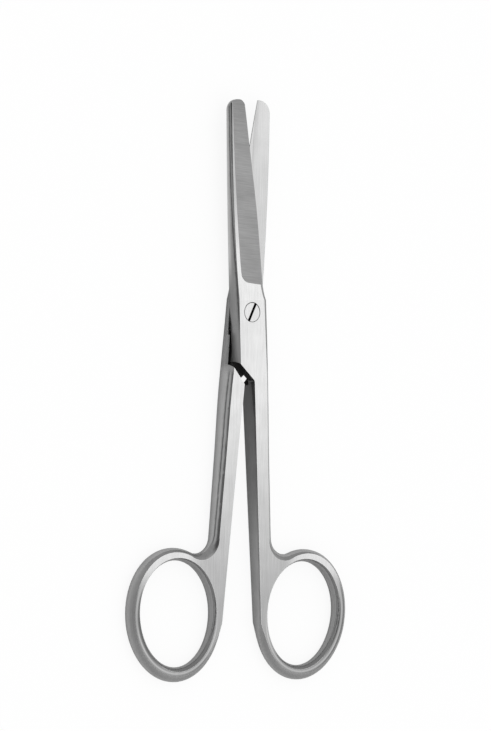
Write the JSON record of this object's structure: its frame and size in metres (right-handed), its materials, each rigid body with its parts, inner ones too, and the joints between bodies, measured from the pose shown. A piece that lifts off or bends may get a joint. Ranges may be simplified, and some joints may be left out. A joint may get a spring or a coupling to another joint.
{
  "type": "surgical scissors",
  "caption": "Straight blunt-tipped operating scissors: lapped halves on a slotted flush screw, finger rings at one end and bevel-ground cutting blades at the other.",
  "frame": {"origin": "where the screw axis meets the flat outer face of the back half, which is the face it rests on", "axes": "+Y along the instrument from the finger rings to the blade tips, +Z out of the front half's outer face, +X towards the front half's finger ring"},
  "size_m": [0.0682, 0.1454, 0.0059],
  "materials": {
    "front_half": "satin-polished stainless steel with a brushed bevel",
    "back_half": "satin-polished stainless steel with a brushed bevel",
    "pivot_screw": "polished stainless steel, ground flush"
  },
  "bodies": {
    "back": {"back_half": "back_half", "pivot_screw": "pivot_screw"},
    "front": {"front_half": "front_half"}
  },
  "joints": [
    {"name": "pivot", "type": "hinge", "parent": "back", "child": "front", "pos_m": [0, 0, 0.0029], "axis": [-0.0011, -0.015, 0.9999], "range_deg": [-8.2, 80]}
  ]
}
